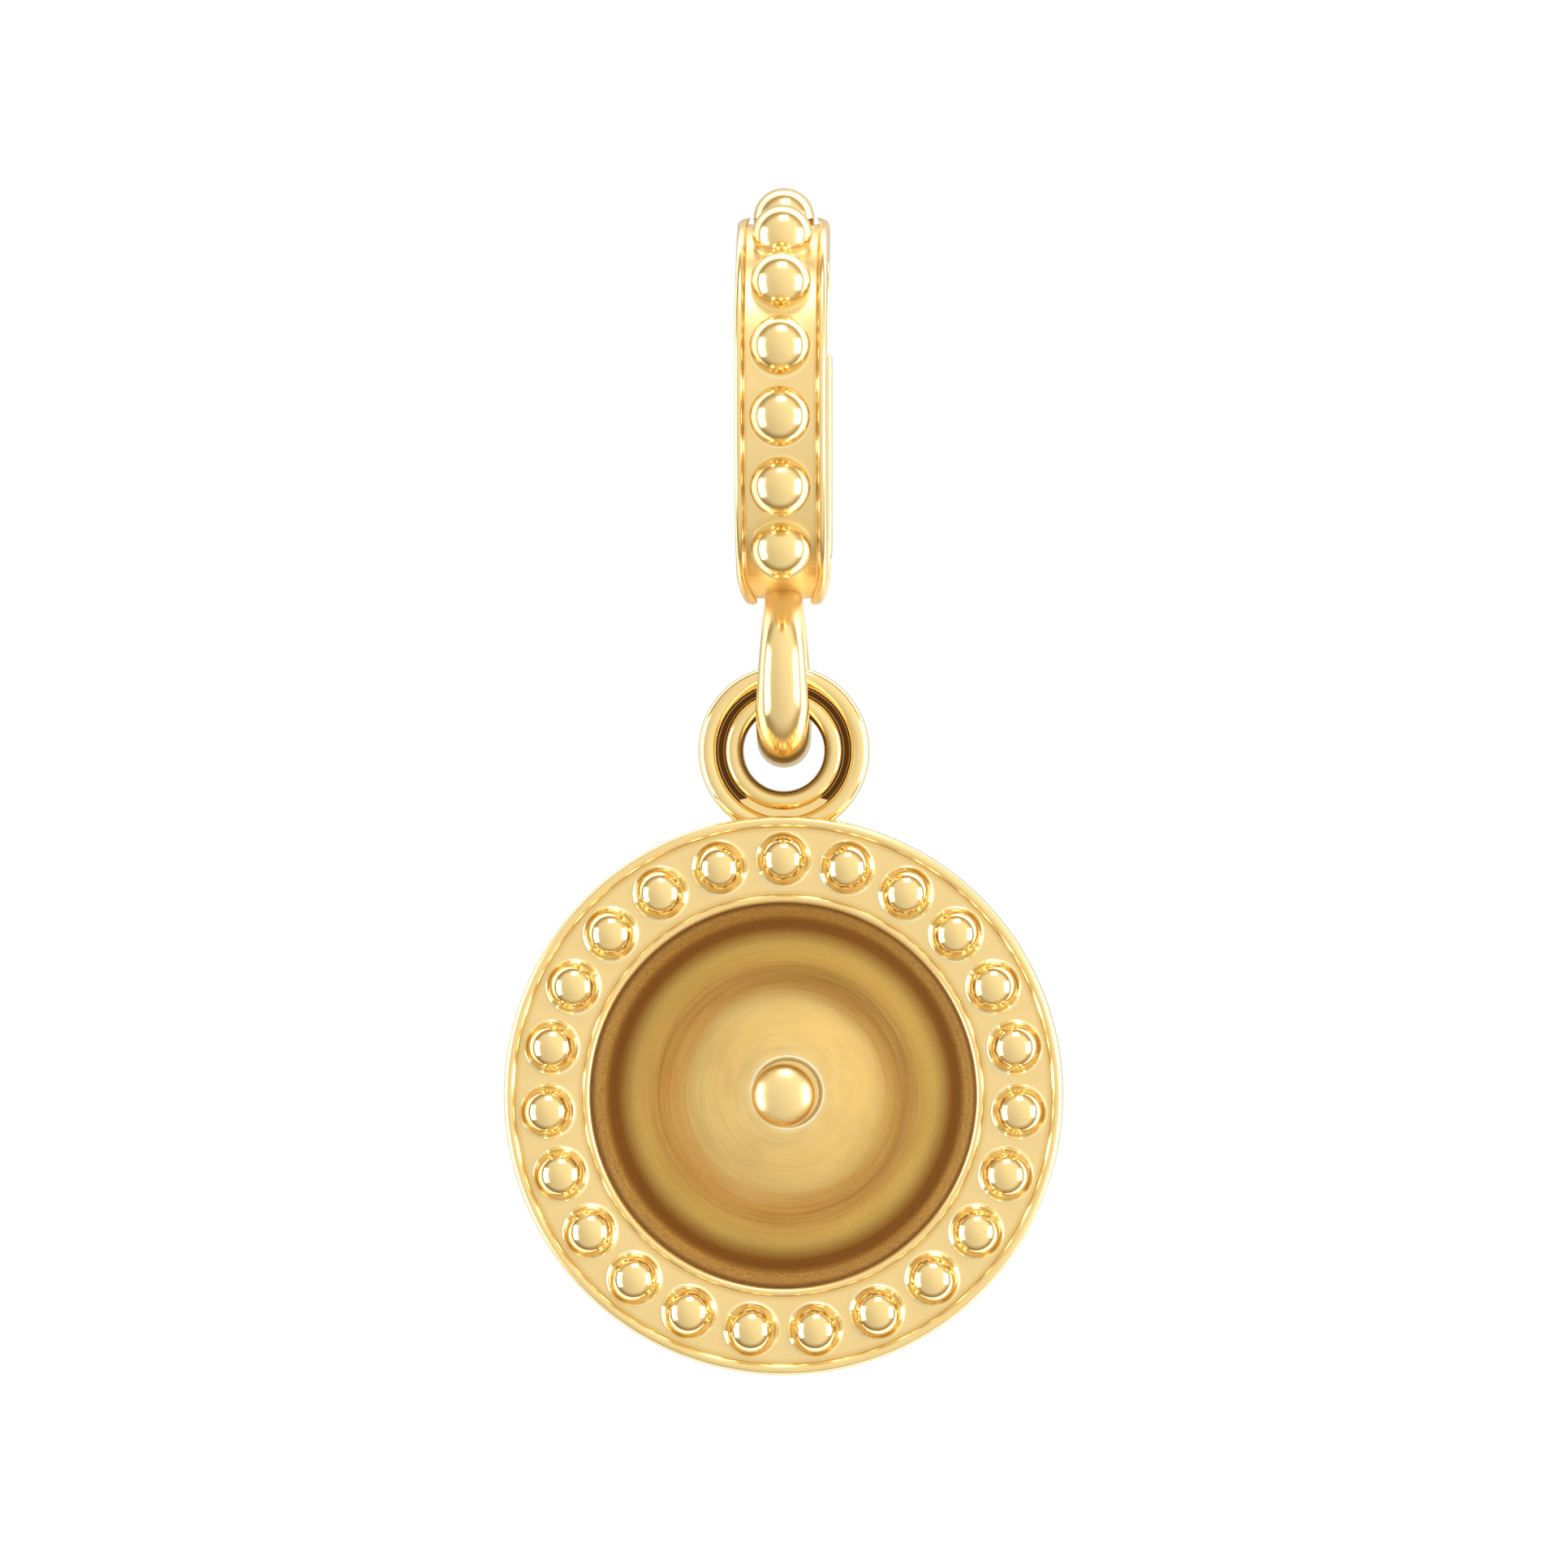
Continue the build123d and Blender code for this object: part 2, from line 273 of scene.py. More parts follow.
class PendantGold(PropertyGroup):
    """Colours and finish of the gold, among them painted shade and painted light."""

    polished: colour("Polished gold", "Colour of the polished gold", (0.90, 0.69, 0.35))
    # Painted colours: shade in the corners, light round the feet of the beads, and dark shade in
    # the loop's groove and hole.
    painted_corner_shade: colour("Dull gold", "Colour in the corners that the polish misses", (0.66, 0.43, 0.16))
    pale: colour("Pale gold", "Colour round the feet of the beads", (0.95, 0.83, 0.55))
    deep: colour("Deep gold", "Colour in the loop's groove and hole", (0.10, 0.035, 0.005))
    # The bowl's colours paint its reflections and shade in rings, paler round the floor and darker
    # under the mouth; the sandy ring also has its own grain.
    bowl: colour("Bowl floor", "Colour of the turned gold round the peg", (0.97, 0.87, 0.63))
    bowl_painted_light: colour("Bowl ring", "Colour of the ring round the floor", (0.99, 0.94, 0.73))
    bowl_middle: colour("Bowl middle", "Colour half way up the bowl", (0.98, 0.87, 0.61))
    bowl_painted_shade: colour("Bowl shade", "Colour of the darker ring under the mouth", (0.30, 0.15, 0.06))
    bowl_sandy: colour("Bowl edge", "Colour of the sandy ring at the mouth", (0.64, 0.42, 0.16))
    roughness: share("Roughness", "Roughness of the polished gold", 0.12)
    satin_roughness: share("Satin roughness", "Roughness of the floors round the beads", 0.28)
    dull_roughness: share("Dull roughness", "Roughness in the corners", 0.42)
    bowl_roughness: share("Bowl roughness", "Roughness of the turned gold", 0.24)
    wave_size: length("Wave size", "Width of the faint waves left by polishing", 1.2)
    wave_height: length("Wave height", "Height of those waves", 0.0012)
    streak_width: length("Streak width", "Width of the turned lines in the bowl", 0.05)
    streak_height: length("Streak height", "Height of the turned lines", 0.0001)
    grain: length("Grain", "Width of the grains in the sandy ring", 0.05)
    grain_height: length("Grain height", "Height of those grains", 0.004)


class PendantStudio(PropertyGroup):
    """Camera, floor and lights."""

    azimuth: angle("Azimuth", "How far the camera stands to the right of the front", 1.5)
    aim_height: length("Aim height", "Height that the camera looks at", -8.307)
    view_width: length("View width", "Width of what the camera sees", 24.73)
    lens: share("Lens", "Focal length in millimetres on a 36 millimetre sensor", 400)
    floor_drop: length("Floor drop", "How far the floor lies below the pendant", 20)
    floor_radius: length("Floor radius", "Radius of the round floor", 340)
    floor_colour: colour("Floor colour", "Colour of the floor", (0.66, 0.66, 0.65))
    floor_roughness: share("Floor roughness", "Roughness of the floor", 0.9)
    box_light: share("Box light", "Radiance of the soft boxes", 5.5)
    box_distance: length("Box distance", "How far from the pendant they stand", 300)
    front_light: colour("Front light", "Radiance of the warm white in front", (1.03, 0.99, 0.83))
    side_fall: share("Side fall", "How much brighter the light is from the right", 0.25)
    height_fall: share("Height fall", "How much brighter the light is from above", 0.15)
    rim_light: share("Rim light", "Radiance obliquely behind the pendant", 2.6)
    back_light: colour("Back light", "Radiance straight behind the pendant", (0.80, 0.76, 0.66))
    gap_light: colour("Gap light", "Radiance of the warm gap at its sides", (0.45, 0.34, 0.20))


def arc(centre, radii, start, end, step):
    """Points of an arc in a plane, from one angle to another, in radians."""
    steps = max(2, round(abs(end - start) / step))
    turns = [start + (end - start) * n / steps for n in range(steps + 1)]
    return [(centre[0] + radii[0] * cos(t), centre[1] + radii[1] * sin(t)) for t in turns]


def smooth(value):
    """Eases a share from 0 to 1, and holds it there outside."""
    held = min(max(value, 0.0), 1.0)
    return held * held * (3 - 2 * held)


def new_piece(name, points, faces=(), edges=()):
    """An object at the origin with a mesh whose doubles are merged and whose faces point out."""
    mesh = bpy.data.meshes.new(name)
    mesh.from_pydata([tuple(point) for point in points], edges, faces)
    if faces:
        shape = bmesh.new()
        shape.from_mesh(mesh)
        bmesh.ops.remove_doubles(shape, verts=shape.verts, dist=MERGE)
        bmesh.ops.recalc_face_normals(shape, faces=shape.faces)
        shape.to_mesh(mesh)
        shape.free()
    piece = bpy.data.objects.new(name, mesh)
    bpy.context.scene.collection.objects.link(piece)
    return piece


def grid_faces(rows, columns, rows_join, columns_join):
    """Faces between neighbours in a grid of points, given row by row."""
    faces = []
    for row in range(rows if rows_join else rows - 1):
        here = row * columns
        there = (row + 1) % rows * columns
        for n in range(columns if columns_join else columns - 1):
            after = (n + 1) % columns
            faces.append((here + n, here + after, there + after, there + n))
    return faces


def skin(name, rows, joined_ends):
    """A mesh over rows of points that each go round. Its ends are joined, or else capped."""
    around = len(rows[0])
    faces = grid_faces(len(rows), around, joined_ends, True)
    if not joined_ends:
        faces.append(tuple(range(around)))
        faces.append(tuple(range((len(rows) - 1) * around, len(rows) * around)))
    return new_piece(name, [point for row in rows for point in row], faces)


def lathe(name, outline, centre, along_x, segments, closed):
    """Turns an outline of (radius, place) pairs about the X or the Y axis through a centre."""
    points = []
    for n in range(segments):
        turn = 2 * pi * n / segments
        for radius, place in outline:
            side = radius * cos(turn)
            up = radius * sin(turn)
            points.append(centre + Vector((place, side, up) if along_x else (side, place, up)))
    return new_piece(name, points, grid_faces(segments, len(outline), True, closed))


def prism(name, outline, low, high, along_x):
    """A plate with the given outline: (y, z) pairs from low to high x, or (x, z) pairs along y."""
    rows = []
    for place in (low, high):
        rows.append([(place, side, z) if along_x else (side, place, z) for side, z in outline])
    return skin(name, rows, joined_ends=False)


def block(low, high):
    """A plain block between two corners."""
    sides = [(low[1], low[2]), (high[1], low[2]), (high[1], high[2]), (low[1], high[2])]
    return prism("block", sides, low[0], high[0], along_x=True)


def rod(radius, reach, edge, finish, step=None):
    """A rod along X through the hinge, as long to each side as its reach, with round edges."""
    step = step or finish.arc_step
    outline = [(0, -reach)]
    outline += arc((radius - edge, edge - reach), (edge, edge), -pi / 2, 0, step)
    outline += arc((radius - edge, reach - edge), (edge, edge), 0, pi / 2, step)
    outline.append((0, reach))
    return lathe("rod", outline, HINGE, True, finish.turned_segments, closed=False)


def bake(piece):
    """Turns a piece's modifiers into plain mesh and removes them."""
    graph = bpy.context.evaluated_depsgraph_get()
    mesh = bpy.data.meshes.new_from_object(piece.evaluated_get(graph), depsgraph=graph)
    before = piece.data
    piece.modifiers.clear()
    piece.data = mesh
    bpy.data.meshes.remove(before)


def combine(piece, other, operation):
    """Joins another closed mesh to the piece, or cuts it out, and removes it."""
    modifier = piece.modifiers.new(operation, "BOOLEAN")
    modifier.solver = "MANIFOLD"
    modifier.operation = operation
    modifier.object = other
    bake(piece)
    bpy.data.objects.remove(other)
    if not piece.data.polygons:
        raise RuntimeError(f"{piece.name}: nothing is left after {operation}")


def soften(piece, radius):
    """Rounds the sharp edges of a piece."""
    modifier = piece.modifiers.new("soften", "BEVEL")
    modifier.width = radius
    modifier.segments = BEVEL_SEGMENTS
    modifier.limit_method = "ANGLE"
    modifier.angle_limit = BEVEL_LIMIT
    bake(piece)


def islands(shape):
    """How many loose parts a mesh has."""
    left = set(shape.verts)
    found = 0
    while left:
        found += 1
        reached = [left.pop()]
        while reached:
            vertex = reached.pop()
            for edge in vertex.link_edges:
                beside = edge.other_vert(vertex)
                if beside in left:
                    left.remove(beside)
                    reached.append(beside)
    return found


def finish_piece(piece, body, crease, materials, in_bowl=None):
    """Checks that a piece is one closed body, shades it, and puts it in its node's place."""
    shape = bmesh.new()
    shape.from_mesh(piece.data)
    bmesh.ops.remove_doubles(shape, verts=shape.verts, dist=MERGE)
    bmesh.ops.dissolve_degenerate(shape, edges=shape.edges, dist=MERGE)
    open_edges = sum(len(edge.link_faces) != 2 for edge in shape.edges)
    parts = islands(shape)
    volume = shape.calc_volume(signed=True) / MM**3
    facts = f"{open_edges} open edges, {parts} parts, {volume:.3f} cubic millimetres"
    print(f"{piece.name}: {facts}")
    if open_edges or parts != 1 or volume < 0:
        raise RuntimeError(f"{piece.name} isn't one closed body facing outwards: {facts}")
    piece.data.materials.clear()
    for material in materials:
        piece.data.materials.append(material)
    for edge in shape.edges:
        edge.smooth = edge.calc_face_angle() < crease
    for face in shape.faces:
        face.smooth = True
        face.material_index = 1 if in_bowl and in_bowl(face.calc_center_median()) else 0
    shape.to_mesh(piece.data)
    shape.free()
    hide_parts(piece.name[: -len("_piece")])
    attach(piece, body)


class Wire:
    """A node's output in a tree. Plain arithmetic on it adds Math nodes."""

    def __init__(self, tree, socket=None):
        self.tree = tree
        self.socket = socket

    def node(self, kind, sockets=None, output=0, stops=(), **settings):
        """Adds a node, with its settings first and then its sockets, and gives one output."""
        node = self.tree.nodes.new(kind)
        for name, value in settings.items():
            setattr(node, name, value)
        for place, (position, shade) in enumerate(stops):
            elements = node.color_ramp.elements
            element = elements[place] if place < 2 else elements.new(position)
            element.position = position
            element.color = (*shade, 1)
        for name, value in (sockets or {}).items():
            if isinstance(value, Wire):
                self.tree.links.new(value.socket, node.inputs[name])
            else:
                node.inputs[name].default_value = value
        return Wire(self.tree, node.outputs[output] if node.outputs else None)

    def math(self, operation, *values):
        """One Math node on numbers or wires."""
        return self.node("ShaderNodeMath", dict(enumerate(values)), operation=operation)

    def largest(self, masks):
        """The largest of some masks at each place, the first of them a wire."""
        highest, *others = masks
        for mask in others:
            highest = self.math("MAXIMUM", highest, mask)
        return highest

    def parts(self):
        """The x, y and z of a vector."""
        split = self.node("ShaderNodeSeparateXYZ", {"Vector": self})
        return [Wire(self.tree, part) for part in split.socket.node.outputs]

    def mix(self, factor, first, second):
        """One colour eased into another."""
        sockets = {0: factor, 6: first, 7: second}
        return self.node("ShaderNodeMix", sockets, output=2, data_type="RGBA")

    def __add__(self, other):
        return self.math("ADD", self, other)

    __radd__ = __add__

    def __sub__(self, other):
        return self.math("SUBTRACT", self, other)

    def __rsub__(self, other):
        return self.math("SUBTRACT", other, self)

    def __mul__(self, other):
        return self.math("MULTIPLY", self, other)

    __rmul__ = __mul__

    def __truediv__(self, other):
        return self.math("DIVIDE", self, other)

    def __rtruediv__(self, other):
        return self.math("DIVIDE", other, self)


def new_tree(name, inputs):
    """A Geometry Nodes tree with named inputs. Gives the tree and a wire for each input."""
    tree = bpy.data.node_groups.new(name, "GeometryNodeTree")
    for title, kind in inputs.items():
        tree.interface.new_socket(name=title, in_out="INPUT", socket_type="NodeSocket" + kind)
    tree.interface.new_socket(name="Geometry", in_out="OUTPUT", socket_type="NodeSocketGeometry")
    entry = tree.nodes.new("NodeGroupInput")
    wires = {title: Wire(tree, entry.outputs[title]) for title in inputs}
    return tree, wires


def end_tree(geometry, material):
    """Realizes the instances, sets the material and leads the result out of the tree."""
    plain = geometry.node("GeometryNodeRealizeInstances", {"Geometry": geometry})
    finished = plain.node("GeometryNodeSetMaterial", {"Geometry": plain, "Material": material})
    leave = finished.tree.nodes.new("NodeGroupOutput")
    finished.tree.links.new(finished.socket, leave.inputs["Geometry"])


def beads_tree():
    """Copies of a bead at even steps along a path, turned outwards if the path bends."""
    tree, given = new_tree(
        "Beads along a path",
        {
            "Path": "Geometry",
            "Bead": "Object",
            "Count": "Int",
            "Pitch": "Float",
            "Turn With Path": "Bool",
            "Material": "Material",
        },
    )
    wire = Wire(tree)
    curve = wire.node("GeometryNodeMeshToCurve", {"Mesh": given["Path"]})
    sample = {
        "Curves": curve,
        "Length": wire.node("GeometryNodeInputIndex") * given["Pitch"],
    }
    place = wire.node("GeometryNodeSampleCurve", sample, output=1, mode="LENGTH")
    along = wire.node("GeometryNodeSampleCurve", sample, output=2, mode="LENGTH")
    inwards = wire.node(
        "ShaderNodeVectorMath", {0: (1, 0, 0), 1: along}, operation="CROSS_PRODUCT"
    )
    facing = wire.node(
        "GeometryNodeSwitch",
        {"Switch": given["Turn With Path"], "False": (0, 1, 0), "True": inwards},
        input_type="VECTOR",
    )
    turn = wire.node("FunctionNodeAlignRotationToVector", {"Vector": facing}, axis="Y")
    points = wire.node("GeometryNodePoints", {"Count": given["Count"], "Position": place})
    bead = wire.node("GeometryNodeObjectInfo", {"Object": given["Bead"]}, output=4)
    beads = wire.node(
        "GeometryNodeInstanceOnPoints", {"Points": points, "Instance": bead, "Rotation": turn}
    )
    end_tree(beads, given["Material"])
    return tree


def wire_ring_tree():
    """A round wire along a ring, even in its lower third and tapering upwards from there."""
    tree, given = new_tree(
        "Tapered wire ring",
        {
            "Path": "Geometry",
            "Centre Height": "Float",
            "Ring Radius": "Float",
            "Wire Radius": "Float",
            "Neck Radius": "Float",
            "Segments": "Int",
            "Material": "Material",
        },
    )
    wire = Wire(tree)
    curve = wire.node("GeometryNodeMeshToCurve", {"Mesh": given["Path"]})
    height = wire.node("GeometryNodeInputPosition").parts()[2]
    rise = (height - given["Centre Height"]) / given["Ring Radius"]
    # The lower third ends 30 degrees below the ring's middle, where the rise is -0.5.
    above = wire.math("MINIMUM", wire.math("MAXIMUM", rise, -0.5), 1.0)
    taper = wire.math("MINIMUM", wire.math("ARCSINE", above) / (pi / 2) + 1 / 3, 1.0)
    thickness = given["Wire Radius"] + (given["Neck Radius"] - given["Wire Radius"]) * taper
    circle = wire.node(
        "GeometryNodeCurvePrimitiveCircle", {"Resolution": given["Segments"], "Radius": 1.0}
    )
    ring = wire.node(
        "GeometryNodeCurveToMesh", {"Curve": curve, "Profile Curve": circle, "Scale": thickness}
    )
    end_tree(ring, given["Material"])
    return tree


def grow(name, path, closed, tree, values):
    """A mesh that a Geometry Nodes tree makes along a path of points."""
    links = [(n, n + 1) for n in range(len(path) - 1)]
    if closed:
        links.append((len(path) - 1, 0))
    piece = new_piece(name, path, edges=links)
    modifier = piece.modifiers.new(tree.name, "NODES")
    modifier.node_group = tree
    sockets = {item.name: item.identifier for item in tree.interface.items_tree}
    for title, value in values.items():
        modifier[sockets[title]] = value
    bake(piece)
    return piece


def opaque(value):
    """A property's colour with its alpha."""
    return (*value, 1.0)


def dimmed(value, share_left):
    """A colour with that share of its light."""
    return [share_left * part for part in value]


def cleared(owner):
    """A wire in the emptied node tree of a material or a world."""
    owner.use_nodes = True
    owner.node_tree.nodes.clear()
    return Wire(owner.node_tree)


def fade(value, near, far):
    """1 up to the near distance, easing to 0 at the far one."""
    ends = {"Value": value, "From Min": near, "From Max": far, "To Min": 1.0, "To Max": 0.0}
    return value.node("ShaderNodeMapRange", ends, interpolation_type="SMOOTHSTEP")


def zone(value, reach):
    """The mask of a zone whose two distances are in millimetres."""
    return fade(value, reach[0] * MM, reach[1] * MM)


def distance(first, second):
    """The length of a way with two parts at right angles."""
    return first.math("SQRT", first * first + second * second)


def gold_surface(wire, colour_there, roughness, height):
    """Ends a material as a metal with a colour, a roughness and a relief."""
    bump = wire.node("ShaderNodeBump", {"Strength": 1.0, "Distance": 1.0, "Height": height})
    shader = wire.node(
        "ShaderNodeBsdfPrincipled",
        {"Base Color": colour_there, "Metallic": 1.0, "Roughness": roughness, "Normal": bump},
    )
    wire.node("ShaderNodeOutputMaterial", {"Surface": shader})


def polished_gold(gold, name="polished_gold", corners=None):
    """Polished gold with faint waves. Corners gives its painted shade, painted light, deep painted
    shade and satin places.
    """
    material = bpy.data.materials.get(name)
    if material:
        return material
    material = bpy.data.materials.new(name)
    wire = cleared(material)
    place = wire.node("ShaderNodeTexCoord", output=3)
    waves, cloud = [
        wire.node(
            "ShaderNodeTexNoise",
            {"Vector": place, "Scale": fineness / gold.wave_size, "Detail": detail},
        )
        for fineness, detail in ((1, 1.0), (2.5, 3.0))
    ]
    light = wire.mix(cloud, opaque(dimmed(gold.polished, 0.96)), opaque(gold.polished))
    # The cloud's mean is 0.5, so the mean roughness is the one that the user sets.
    rough = gold.roughness * 0.7 + cloud * gold.roughness * 0.6
    if corners:
        painted_corner_shade, pale, deep, satin = corners(place)
        # Painted light round the feet of beads, painted shade in corners, and darker painted shade
        # in the groove and hole.
        light = wire.mix(pale, light, opaque(gold.pale))
        light = wire.mix(painted_corner_shade, light, opaque(gold.painted_corner_shade))
        light = wire.mix(deep, light, opaque(gold.deep))
        rough = rough + satin * (gold.satin_roughness - gold.roughness)
        rough = rough + wire.math("MAXIMUM", painted_corner_shade, deep) * (
            gold.dull_roughness - gold.satin_roughness
        )
    gold_surface(wire, light, rough, waves * gold.wave_height)
    return material


def bail_corners(bail, beads):
    """The corners of the bail: painted light at the feet of its beads and painted shade at the feet
    of its rims.
    """

    def corners(place):
        across, deep, high = place.parts()
        inside = place.math("ABSOLUTE", across)
        rim = place.math("ABSOLUTE", inside - (bail.width / 2 - bail.rim_width))
        outwards = distance(deep / bail.front_depth, (high - hoop_middle(bail)) / bail.half_height)
        # Painted shade in the corners at the feet of the rims, but not on the band's inside.
        painted_corner_shade = zone(rim, RIM_CORNER) * (1 - fade(outwards, *UNDER_CHANNEL))
        floor = fade(outwards, *CHANNEL_END) * (1 - fade(outwards, *CHANNEL_START))
        from_joint = distance(deep, high - (hoop_middle(bail) - bail.half_height))
        joint = zone(from_joint, RING_JOINT) * JOINT_SATIN
        # Painted light round the foot of each bead.
        feet = []
        for seat, way in bail_seats(bail, beads):
            away = place.node("ShaderNodeVectorMath", {0: place, 1: seat}, operation="SUBTRACT")
            height = place.node(
                "ShaderNodeVectorMath", {0: away, 1: way}, output=1, operation="DOT_PRODUCT"
            )
            whole = place.node("ShaderNodeVectorMath", {0: away}, output=1, operation="LENGTH")
            beside = place.math("SQRT", whole * whole - height * height) - beads.bail_radius
            feet.append(zone(distance(beside, height), BEAD_FOOT) * zone(beside, BEAD_EDGE))
        satin = place.largest([floor, joint, BAIL_SATIN])
        return painted_corner_shade * BAIL_CORNER_SHADE, place.largest(feet), 0.0, satin

    return corners


def cup_corners(cup, loop, beads):
    """The setting's corners: painted light at the feet of its beads, painted shade at its lips and
    in the loop's groove and hole.
    """

    def corners(place):
        across, deep, high = place.parts()
        above = high - CUP_CENTRE.z
        radius = distance(across, above)
        height = deep * -1 - cup.flange_thickness / 2

        # The flange is cut into one cell a bead, and each place is measured from its cell's bead.
        cells = place.math("ARCTAN2", across, above) * beads.cup_count / (2 * pi)
        cell = place.math("FRACT", cells + (beads.cup_count + 0.5)) - 0.5
        aside = cell * radius * (2 * pi / beads.cup_count)
        from_bead = distance(radius - (cup.mouth + cup.flange_width / 2), aside)
        skirt = beads.cup_skirt
        beside = from_bead - beads.cup_radius - skirt
        # The painted light lies round a place inside each bead's fillet, a fifth of its radius up.
        foot = distance(beside + skirt * 0.8, height - skirt * 0.2)
        pale = zone(foot, SKIRT_FOOT) * zone(beside, SKIRT_EDGE)
        satin = (1 - zone(beside, FLANGE_EDGE)) * (1 - zone(height, FLANGE_DEPTH))

        # Painted shade in the corners at the feet of both lips.
        disc = cup.mouth + cup.flange_width
        lips = (cup.mouth + cup.inner_lip_width, disc - cup.outer_lip_width)
        painted_corner_shade = place.largest([zone(distance(radius - lip, height), LIP_CORNER) for lip in lips])

        # Painted dark shade in the loop's groove and down its hole.
        ring = distance(across, above - loop.rise)
        off_groove = place.math("ABSOLUTE", ring - (loop.hole + loop.ridge + loop.groove / 2))
        sunk = place.math("ABSOLUTE", deep)
        groove = zone(off_groove, GROOVE_SIDE) * zone(sunk, GROOVE_DEPTH)
        hole = zone(ring - loop.hole, HOLE_WALL) * HOLE_SHADE
        return painted_corner_shade * CUP_CORNER_SHADE, pale, place.math("MAXIMUM", groove, hole), satin

    return corners


def turned_gold(gold, mouth):
    """The bowl's gold, with fine lines that the lathe left around the peg, and rings of painted
    reflection and painted shade.
    """
    material = bpy.data.materials.new("turned_gold")
    wire = cleared(material)
    place = wire.node("ShaderNodeTexCoord", output=3)
    across, _, high = place.parts()
    up = high - CUP_CENTRE.z
    radius = distance(across, up)

    # Fine lines, and bands six times as wide. The spread lets them change along their way round.
    lines = []
    narrow, wide = gold.streak_width, gold.streak_width * 6
    for spread, width, detail in ((1.1, narrow, 2.0), (1.5, wide, 1.0)):
        around = wire.node(
            "ShaderNodeCombineXYZ",
            {0: across / radius * spread, 1: up / radius * spread, 2: radius / width},
        )
        noise = {"Vector": around, "Scale": 1.0, "Detail": detail}
        lines.append(wire.node("ShaderNodeTexNoise", noise))
    streaks, bands = lines
    sand = wire.node(
        "ShaderNodeTexNoise", {"Vector": place, "Scale": 1 / gold.grain, "Detail": 2.0}
    )

    # The colours go by the share of the way from the peg's axis to the mouth: painted reflections
    # in paler rings, and painted shade in darker rings under the mouth.
    part = radius / mouth
    shade = wire.node(
        "ShaderNodeValToRGB",
        {"Fac": part},
        stops=(
            (0.42, gold.bowl),
            (0.50, gold.bowl_painted_light),
            (0.63, gold.bowl_painted_light),
            (0.70, gold.bowl_middle),
            (0.79, dimmed(gold.bowl_middle, 0.70)),
            (0.87, gold.bowl_painted_shade),
            (0.905, gold.bowl_painted_shade),
            (0.935, gold.bowl_sandy),
            (0.975, gold.bowl_sandy),
            (0.99, gold.bowl_painted_shade),
        ),
    )
    matte = wire.node("ShaderNodeMapRange", {"Value": part, "From Min": 0.915, "From Max": 0.94})
    # The mean of each noise is 0.5, so the mean tone is 1.
    tone = 0.75 + streaks * 0.2 + bands * 0.3 + matte * (sand - 0.5) * 1.2
    light = wire.node("ShaderNodeVectorMath", {0: shade, "Scale": tone}, operation="SCALE")
    rough = gold.bowl_roughness * (0.6 + streaks * 0.8) + matte * 0.3
    relief = streaks * gold.streak_height + matte * sand * gold.grain_height
    gold_surface(wire, light, rough, relief)
    return material


def hoop_middle(bail):
    """Height of the middle of the bail's hoop, whose inside top is at the origin."""
    return bail.wall - bail.half_height


def hoop_point(bail, side, part, growth):
    """Point (y, z) of the hoop, seen from its side, that far outside the channel's floor."""
    middle = hoop_middle(bail)
    back = bail.back_depth - bail.rim_height + growth
    foot = middle - bail.half_height + bail.bottom_corner
    top = middle + bail.half_height - bail.top_corner
    if side == "front":
        turn = pi / 2 + pi * part
        return (
            (bail.front_depth + growth) * cos(turn),
            middle + (bail.half_height + growth) * sin(turn),
        )
    if side == "bottom":
        turn = pi / 2 * (part - 1)
        return back * cos(turn), foot + (bail.bottom_corner + growth) * sin(turn)
    if side == "back":
        return back, foot + (top - foot) * part
    turn = pi / 2 * part
    return back * cos(turn), top + (bail.top_corner + growth) * sin(turn)


def foot_closing(bail, height):
    """How far the sides of the band have closed in at a height."""
    lowest = hoop_middle(bail) - bail.half_height - bail.rim_height
    below = lowest + bail.foot_height - height
    if below <= 0:
        return 0.0
    closing = (bail.width - bail.foot_width) / 2
    radius = (closing**2 + bail.foot_height**2) / (2 * closing)
    return radius - sqrt(radius**2 - min(below, bail.foot_height) ** 2)


def half_width(bail, y, z):
    """Half the width of the band at a place in its side view."""
    half = bail.width / 2 - foot_closing(bail, z)
    top = bail.wall + bail.rim_height
    above = z - (top - bail.shoulder)
    if above > 0:
        half -= bail.shoulder - sqrt(max(bail.shoulder**2 - above**2, 0.0))
    if z > GATE_HIGH.z:
        taper = min(max((y - bail.channel_end) / bail.latch_taper, 0.0), 1.0)
        half -= (bail.width - bail.latch_width) / 2 * taper
    return half


def band_section(bail, step, rim, floor):
    """Half a section of the band as (inset from its side, growth) pairs, from inside to out."""
    edge = bail.inner_edge
    fillet = bail.channel_fillet
    base = bail.rim_height - bail.rim_round
    points = arc((edge, edge - bail.wall), (-edge, edge), -pi / 2, 0, step)
    points += arc((rim / 2, base), (-rim / 2, bail.rim_round), 0, pi, step)
    points += arc((rim + fillet, fillet), (-fillet, fillet), 0, -pi / 2, step)
    filled = []
    for inset, growth in points:
        on_top = inset > rim / 2 and growth > -bail.wall / 2
        filled.append((inset, max(growth, floor) if on_top else growth))
    return filled


def bail_band(bail, step):
    """The closed band of the bail, with its channel between two rims."""
    foot_start = hoop_middle(bail) - bail.half_height - bail.rim_height + bail.foot_height
    rows = []
    for side, steps in BAND_STEPS:
        for n in range(steps):
            part = n / steps
            y, z = hoop_point(bail, side, part, 0.0)
            widening = smooth((foot_start - z) / bail.foot_height)
            rim = bail.rim_width + (bail.rim_foot - bail.rim_width) * widening
            closing = smooth((y - bail.channel_end) / bail.channel_step + 0.5)
            right = []
            left = []
            for inset, growth in band_section(bail, step, rim, bail.rim_height * closing):
                y, z = hoop_point(bail, side, part, growth)
                x = half_width(bail, y, z) - inset
                right.append(Vector((x, y, z)))
                left.append(Vector((-x, y, z)))
            rows.append(right + left[::-1])
    return skin("bail_bow_piece", rows, joined_ends=True)


